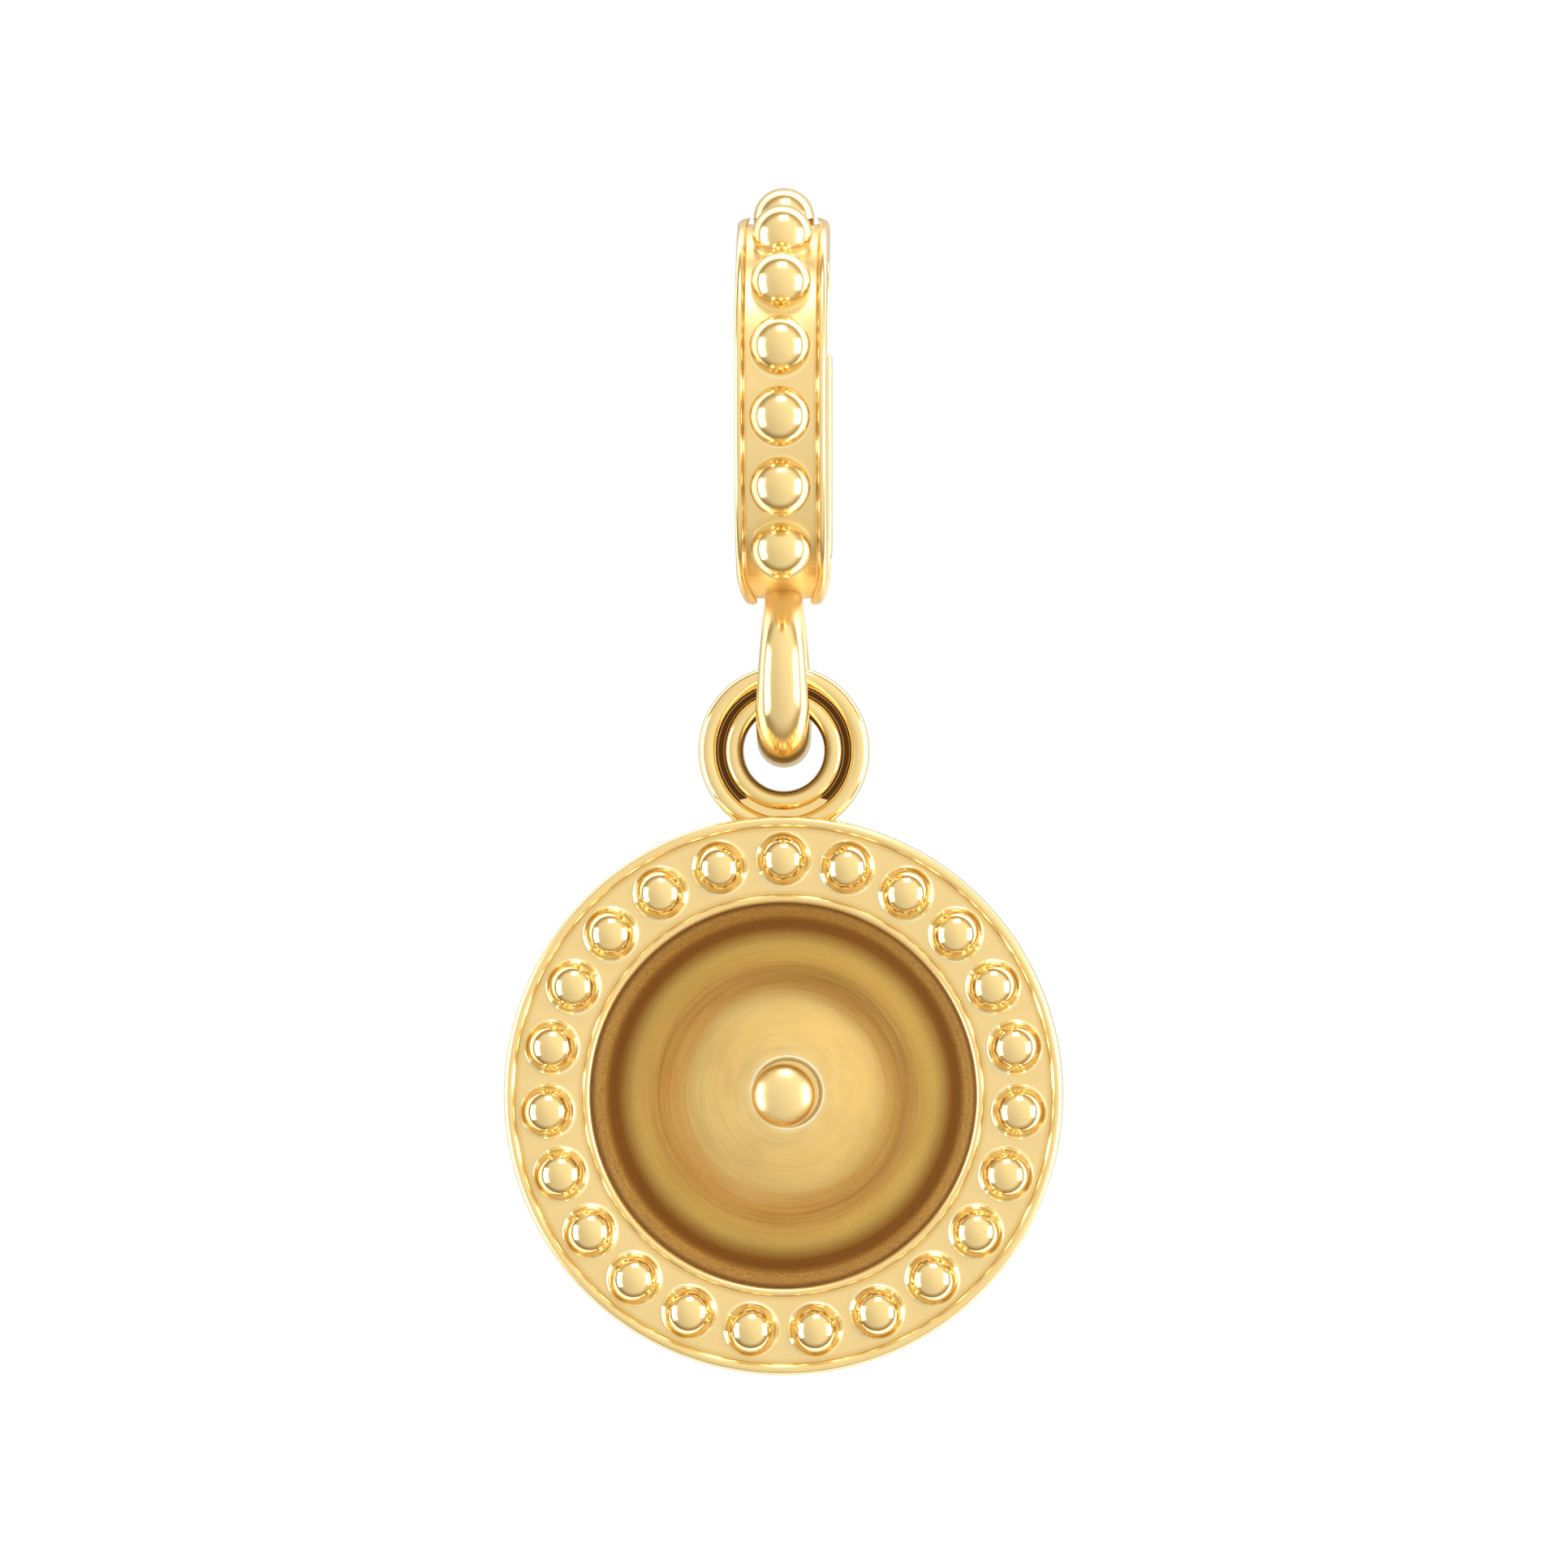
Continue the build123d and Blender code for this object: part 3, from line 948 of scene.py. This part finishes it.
def bead_shape(radius, stand, skirt, finish):
    """A ball that stands over its seat at the origin, towards the front, with a fillet or none."""
    outline = arc((0, -stand), (radius, radius), -pi / 2, 0 if skirt else pi / 2, finish.bead_step)
    if skirt:
        outline += arc((radius + skirt, -stand), (skirt, skirt), pi, pi / 2, finish.arc_step)[1:]
        outline += [(radius + skirt, radius / 2), (0, radius / 2)]
    return lathe("bead", outline, Vector(), False, finish.bead_segments, closed=False)


def bead_row(name, path, closed, bead, values):
    """A row of beads along a path, as one mesh."""
    row = grow(name, path, closed, beads_tree(), {"Bead": bead, **values})
    bpy.data.objects.remove(bead)
    return row


def bail_path(bail):
    """Points down the middle of the channel's floor, from the very top."""
    turns = [pi / 2 + pi * n / CHANNEL_STEPS for n in range(CHANNEL_STEPS + 1)]
    middle = hoop_middle(bail)
    return [
        Vector((0, bail.front_depth * cos(t), middle + bail.half_height * sin(t))) for t in turns
    ]


def bail_seats(bail, beads):
    """Where each bead of the bail sits on the floor, and its way outwards."""
    path = bail_path(bail)
    seats = []
    gone = 0.0
    for before, point in zip(path, path[1:]):
        if gone >= beads.bail_pitch * len(seats) and len(seats) < beads.bail_count:
            seats.append((before, Vector((1, 0, 0)).cross(before - point).normalized()))
        gone += (point - before).length
    return seats


def bail_beads(bail, beads, finish, material):
    """The row of beads in the channel, the first at the very top."""
    values = {
        "Count": beads.bail_count,
        "Pitch": beads.bail_pitch,
        "Turn With Path": True,
        "Material": material,
    }
    bead = bead_shape(beads.bail_radius, beads.bail_stand, 0.0, finish)
    return bead_row("bail_beads", bail_path(bail), False, bead, values)


def bail_ring(bail, ring, finish, material):
    """The ring under the band."""
    centre = hoop_middle(bail) - bail.half_height - ring.radius
    path = []
    for n in range(finish.ring_segments):
        turn = 2 * pi * n / finish.ring_segments
        path.append(Vector((0, ring.radius * sin(turn), centre - ring.radius * cos(turn))))
    values = {
        "Centre Height": centre,
        "Ring Radius": ring.radius,
        "Wire Radius": ring.wire,
        "Neck Radius": ring.neck,
        "Segments": finish.wire_segments,
        "Material": material,
    }
    return grow("bail_ring", path, True, wire_ring_tree(), values)


class PENDANT_OT_bail_bow(Operator):
    """Builds the bail's beaded band with its knuckle and the ring below, fused into one."""

    bl_idname = "pendant.bail_bow"
    bl_label = "Bail bow"

    def execute(self, context):
        scene = context.scene
        bail = scene.pendant_bail
        hinge = scene.pendant_hinge
        finish = scene.pendant_finish
        corners = bail_corners(bail, scene.pendant_beads)
        material = polished_gold(scene.pendant_gold, "bail_gold", corners)
        reach = 2 * bail.half_height
        side = bail.width
        thickness = bail.wall + bail.rim_height
        clear = thickness / 2 + hinge.gap

        piece = bail_band(bail, finish.arc_step)
        shelf = HINGE.z - hinge.shelf
        opening = block(
            (-side, HINGE.y - clear, shelf), (side, HINGE.y + reach, GATE_HIGH.z + hinge.gap)
        )
        combine(piece, opening, "DIFFERENCE")
        behind = block(
            (-side, HINGE.y + hinge.foot, HINGE.z - reach), (side, HINGE.y + reach, HINGE.z)
        )
        combine(piece, behind, "DIFFERENCE")
        room = rod(clear, side, hinge.fine_edge, finish)
        combine(piece, room, "DIFFERENCE")

        knuckle = rod(thickness / 2, hinge.knuckle / 2, hinge.fine_edge, finish)
        neck = (thickness / 2 + hinge.foot) / 2
        stem = block(
            (-hinge.knuckle / 2 + hinge.fine_edge, HINGE.y - neck, HINGE.z - clear),
            (hinge.knuckle / 2 - hinge.fine_edge, HINGE.y + neck, HINGE.z),
        )
        combine(knuckle, stem, "UNION")
        combine(piece, knuckle, "UNION")
        combine(piece, bail_ring(bail, scene.pendant_ring, finish, material), "UNION")
        combine(piece, bail_beads(bail, scene.pendant_beads, finish, material), "UNION")
        bore = rod(PIN_RADIUS + hinge.seat_gap, side, hinge.seat_gap, finish, BORE_STEP)
        combine(piece, bore, "DIFFERENCE")
        finish_piece(piece, "bail", finish.crease, [material])
        return {"FINISHED"}


class PENDANT_OT_hinge_pin(Operator):
    """Builds the pin that the gate turns on."""

    bl_idname = "pendant.hinge_pin"
    bl_label = "Hinge pin"

    def execute(self, context):
        scene = context.scene
        finish = scene.pendant_finish
        piece = rod(PIN_RADIUS, PIN_HIGH.x, scene.pendant_hinge.fine_edge, finish)
        piece.name = "hinge_pin_piece"
        finish_piece(piece, "bail", finish.crease, [polished_gold(scene.pendant_gold)])
        return {"FINISHED"}


class PENDANT_OT_bail_gate(Operator):
    """Builds the straight gate at the back of the bail, with its two ears."""

    bl_idname = "pendant.bail_gate"
    bl_label = "Bail gate"

    def execute(self, context):
        scene = context.scene
        hinge = scene.pendant_hinge
        finish = scene.pendant_finish
        thickness = GATE_HIGH.y - GATE_LOW.y
        outline = arc((HINGE.y, HINGE.z), (thickness / 2, thickness / 2), -pi, 0, EAR_STEP)
        outline += [(GATE_HIGH.y, GATE_HIGH.z), (GATE_LOW.y, GATE_HIGH.z)]
        piece = prism("bail_gate_piece", outline, GATE_LOW.x, GATE_HIGH.x, along_x=True)
        soften(piece, hinge.edge)
        space = thickness / 2 + hinge.gap
        room = rod(space, hinge.knuckle / 2 + hinge.gap, hinge.fine_edge, finish)
        combine(piece, room, "DIFFERENCE")
        bore = rod(PIN_RADIUS + hinge.run_gap, thickness * 2, hinge.run_gap, finish, BORE_STEP)
        combine(piece, bore, "DIFFERENCE")
        finish_piece(piece, "gate", finish.crease, [polished_gold(scene.pendant_gold)])
        return {"FINISHED"}


def bowl_radius(cup):
    """Radius of the round inside of the bowl."""
    return hypot(cup.mouth, cup.centre_ahead)


def bowl_middle(cup):
    """Place of the bowl's centre along the cup's axis."""
    return -cup.flange_thickness / 2 - cup.centre_ahead


def cup_outline(cup, step):
    """Half a section of the cup as (radius, y) pairs, from the peg's tip round to the back."""
    front = -cup.flange_thickness / 2
    back = cup.flange_thickness / 2
    disc = cup.mouth + cup.flange_width
    radius = bowl_radius(cup)
    middle = bowl_middle(cup)
    shell = radius + cup.wall
    tip = middle + radius - cup.peg_length

    points = arc((0, tip + cup.peg_dome), (cup.peg_radius, cup.peg_dome), -pi / 2, 0, step / 2)
    out = cup.peg_radius + cup.peg_fillet
    deep = sqrt((radius - cup.peg_fillet) ** 2 - out**2)
    turn = atan2(deep, out)
    points += arc((out, middle + deep), (cup.peg_fillet, cup.peg_fillet), pi, turn, step)
    mouth_turn = atan2(front - middle, cup.mouth)
    points += arc((0, middle), (radius, radius), turn, mouth_turn, BOWL_STEP)

    half = cup.inner_lip_width / 2
    points += arc((cup.mouth + half, front), (half, cup.inner_lip_height), pi, 2 * pi, step)
    half = cup.outer_lip_width / 2
    points += arc((disc - half, front), (half, cup.outer_lip_height), pi, 2 * pi, step)
    edge = cup.flange_edge
    points += arc((disc - edge, back - edge), (edge, edge), 0, pi / 2, step)

    fillet = cup.back_fillet
    high = back + fillet - middle
    out = sqrt((shell + fillet) ** 2 - high**2)
    turn = atan2(high, out)
    points += arc((out, back + fillet), (fillet, fillet), -pi / 2, turn - pi, step)
    points += arc((0, middle), (shell, shell), turn, pi / 2, SHELL_STEP)
    return points


def cup_beads(cup, beads, finish, material):
    """The row of beads round the flange, the first at the top."""
    circle = cup.mouth + cup.flange_width / 2
    steps = beads.cup_count * STEPS_PER_CUP_BEAD
    path = []
    for n in range(steps):
        turn = 2 * pi * n / steps
        seat = Vector((circle * sin(turn), -cup.flange_thickness / 2, circle * cos(turn)))
        path.append(CUP_CENTRE + seat)
    around = steps * 2 * circle * sin(pi / steps)
    values = {
        "Count": beads.cup_count,
        "Pitch": around / beads.cup_count,
        "Turn With Path": False,
        "Material": material,
    }
    bead = bead_shape(beads.cup_radius, beads.cup_skirt - SINK, beads.cup_skirt, finish)
    return bead_row("cup_beads", path, True, bead, values)


def loop_outline(loop, step):
    """The loop's whole section as (radius, y) pairs: two round ridges and a groove between."""
    half = loop.ridge / 2
    side = loop.thickness / 2 - half
    inner = loop.hole + half
    outer = inner + loop.ridge + loop.groove
    points = arc((inner, -side), (half, half), pi, 2 * pi, step)
    points += [(inner + half, -loop.web / 2), (outer - half, -loop.web / 2)]
    points += arc((outer, -side), (half, half), pi, 2 * pi, step)
    points += arc((outer, side), (half, half), 0, pi, step)
    points += [(outer - half, loop.web / 2), (inner + half, loop.web / 2)]
    points += arc((inner, side), (half, half), 0, pi, step)
    return points


def loop_neck(cup, loop, step):
    """The plate between the loop and the flange, with a fillet at each side."""
    disc = cup.mouth + cup.flange_width - cup.outer_lip_width / 2
    ridge = loop.hole + 1.5 * loop.ridge + loop.groove
    to_disc = disc + loop.fillet
    to_loop = ridge + loop.fillet
    along = (loop.rise**2 + to_disc**2 - to_loop**2) / (2 * loop.rise)
    aside = sqrt(to_disc**2 - along**2)
    start = atan2(loop.rise - along, -aside)
    end = atan2(-along, -aside)
    right = arc((aside, along), (loop.fillet, loop.fillet), start, end + 2 * pi, step)
    inside = loop.rise - loop.hole - loop.ridge / 2
    buried = disc - 2 * loop.fillet
    half = [(0, inside), (right[0][0] / 2, inside + loop.ridge / 4)]
    half += right + [(right[-1][0], buried)]
    mirrored = [(-x, z) for x, z in half[:0:-1]]
    outline = [(x, CUP_CENTRE.z + z) for x, z in half + mirrored]
    return prism("neck", outline, -loop.neck / 2, loop.neck / 2, along_x=False)


class PENDANT_OT_setting(Operator):
    """Builds the cup with its peg, beads and ribbed loop, fused into one."""

    bl_idname = "pendant.setting"
    bl_label = "Pearl setting"

    def execute(self, context):
        scene = context.scene
        cup = scene.pendant_cup
        loop = scene.pendant_loop
        beads = scene.pendant_beads
        finish = scene.pendant_finish
        polished = polished_gold(scene.pendant_gold, "cup_gold", cup_corners(cup, loop, beads))
        turned = turned_gold(scene.pendant_gold, cup.mouth)

        outline = cup_outline(cup, finish.arc_step)
        piece = lathe(
            "setting_piece", outline, CUP_CENTRE, False, finish.cup_segments, closed=False
        )

        combine(piece, cup_beads(cup, beads, finish, polished), "UNION")
        combine(piece, loop_neck(cup, loop, finish.arc_step), "UNION")
        section = loop_outline(loop, finish.arc_step)
        centre = CUP_CENTRE + Vector((0, 0, loop.rise))
        eye = lathe("loop", section, centre, False, finish.loop_segments, closed=True)
        combine(piece, eye, "UNION")

        radius = bowl_radius(cup)
        middle = CUP_CENTRE + Vector((0, bowl_middle(cup), 0))

        def in_bowl(point):
            aside = hypot(point.x, point.z - CUP_CENTRE.z)
            inside = (point - middle).length < radius + cup.wall / 2
            off_peg = aside > cup.peg_radius + MERGE
            return inside and off_peg and point.y > -cup.flange_thickness / 2

        finish_piece(piece, "setting", finish.crease, [polished, turned], in_bowl)
        return {"FINISHED"}


def toward(azimuth, elevation):
    """Unit vector to a place in the studio, seen from the pendant, with the front at azimuth 0."""
    level = cos(elevation)
    return Vector((level * sin(azimuth), -level * cos(azimuth), sin(elevation)))


def studio_world(studio):
    """Light by the turn from the front: warm white, a darker gap, a bright rim and the back."""
    world = bpy.data.worlds.new("white_studio")
    wire = cleared(world)
    way = wire.node("ShaderNodeTexCoord")
    right, deep, up = way.parts()
    turned = wire.math("ARCCOSINE", deep * -1) / pi
    # The ramp holds shares of the brightest light, because its colours end at 1.
    front, gap, back = [
        dimmed(light, 1 / studio.rim_light)
        for light in (studio.front_light, studio.gap_light, studio.back_light)
    ]
    rim = (1, 1, 1)
    stops = (
        (0.00, front),
        (0.38, front),
        (0.49, gap),
        (0.54, gap),
        (0.58, rim),
        (0.67, rim),
        (0.74, back),
        (1.00, dimmed(back, 0.85)),
    )
    shade = wire.node("ShaderNodeValToRGB", {"Fac": turned}, stops=stops)
    fall = 1 + right * studio.side_fall + up * studio.height_fall
    shade = wire.node("ShaderNodeVectorMath", {0: shade, "Scale": fall}, operation="SCALE")
    light = wire.node("ShaderNodeBackground", {"Color": shade, "Strength": studio.rim_light})
    plain = wire.node("ShaderNodeBackground", {"Color": (1, 1, 1, 1), "Strength": 1.0})
    # The camera sees plain white in its place.
    seen = wire.node("ShaderNodeLightPath")
    both = wire.node("ShaderNodeMixShader", {0: seen, 1: light, 2: plain})
    wire.node("ShaderNodeOutputWorld", {"Surface": both})
    return world


def soft_box(name, aim, way, away, width, height, radiance):
    """A white soft box that faces a point from a way and a distance away."""
    light = bpy.data.lights.new(name, "AREA")
    light.shape = "RECTANGLE"
    light.size = width
    light.size_y = height
    light.energy = radiance * pi * width * height
    lamp = bpy.data.objects.new(name, light)
    bpy.context.scene.collection.objects.link(lamp)
    lamp.location = aim + away * way
    lamp.visible_diffuse = False
    lamp.rotation_euler = way.to_track_quat("Z", "Y").to_euler()


class PENDANT_OT_studio(Operator):
    """Sets up the floor, the lights and the camera."""

    bl_idname = "pendant.studio"
    bl_label = "Studio"

    def execute(self, context):
        scene = context.scene
        studio = scene.pendant_studio
        scene.view_settings.view_transform = "Standard"
        scene.world = studio_world(studio)
        aim = Vector((0, 0, studio.aim_height))

        below = CAD_BOX[0][2] - studio.floor_drop
        edge = arc((0, 0), (studio.floor_radius, studio.floor_radius), 0, 2 * pi, FLOOR_STEP)
        points = [(x, y, below) for x, y in edge[:-1]]
        floor = new_piece("floor", points, faces=[tuple(range(len(points)))])
        paint = bpy.data.materials.new("pale_floor")
        paint.use_nodes = True
        shader = paint.node_tree.nodes["Principled BSDF"]
        shader.inputs["Base Color"].default_value = opaque(studio.floor_colour)
        shader.inputs["Roughness"].default_value = studio.floor_roughness
        floor.data.materials.append(paint)
        floor.visible_glossy = False
        floor.visible_shadow = False

        for name, (azimuth, elevation, width, height) in SOFT_BOXES.items():
            way = toward(radians(azimuth), radians(elevation))
            size = (width * MM, height * MM)
            soft_box(name, aim, way, studio.box_distance, *size, studio.box_light)

        camera = bpy.data.objects.new("camera", bpy.data.cameras.new("camera"))
        scene.collection.objects.link(camera)
        camera.data.sensor_width = SENSOR_WIDTH
        camera.data.lens = studio.lens
        way = toward(studio.azimuth, 0)
        camera.location = aim + studio.view_width * studio.lens / SENSOR_WIDTH * way
        camera.rotation_euler = way.to_track_quat("Z", "Y").to_euler()
        camera.data.clip_start = CLIP_START
        camera.data.clip_end = CLIP_END
        scene.camera = camera
        return {"FINISHED"}


class PENDANT_PT_panel(Panel):
    """The pendant's steps and sizes in the 3D view's sidebar."""

    bl_idname = "PENDANT_PT_panel"
    bl_label = "Pearl pendant setting"
    bl_space_type = "VIEW_3D"
    bl_region_type = "UI"
    bl_category = "Pendant"

    def draw(self, context):
        for operator in STEPS:
            self.layout.operator(operator.bl_idname)
        for name, group in GROUPS.items():
            box = self.layout.box()
            for size in group.__annotations__:
                box.prop(getattr(context.scene, name), size)


GROUPS = {
    "pendant_bail": PendantBail,
    "pendant_ring": PendantRing,
    "pendant_hinge": PendantHinge,
    "pendant_cup": PendantCup,
    "pendant_loop": PendantLoop,
    "pendant_beads": PendantBeads,
    "pendant_finish": PendantFinish,
    "pendant_gold": PendantGold,
    "pendant_studio": PendantStudio,
}
STEPS = (
    PENDANT_OT_studio,
    PENDANT_OT_bail_bow,
    PENDANT_OT_hinge_pin,
    PENDANT_OT_bail_gate,
    PENDANT_OT_setting,
)


def register():
    """Registers the sizes, the steps and the panel."""
    for name, group in GROUPS.items():
        bpy.utils.register_class(group)
        setattr(bpy.types.Scene, name, PointerProperty(type=group))
    for operator in STEPS:
        bpy.utils.register_class(operator)
    bpy.utils.register_class(PENDANT_PT_panel)


def unregister():
    """Removes what register added."""
    bpy.utils.unregister_class(PENDANT_PT_panel)
    for operator in reversed(STEPS):
        bpy.utils.unregister_class(operator)
    for name, group in reversed(GROUPS.items()):
        delattr(bpy.types.Scene, name)
        bpy.utils.unregister_class(group)


def main():
    """Builds the pendant and its studio in order."""
    register()
    bpy.ops.pendant.studio()
    bpy.ops.pendant.bail_bow()
    bpy.ops.pendant.hinge_pin()
    bpy.ops.pendant.bail_gate()
    bpy.ops.pendant.setting()


if __name__ == "__main__":
    main()
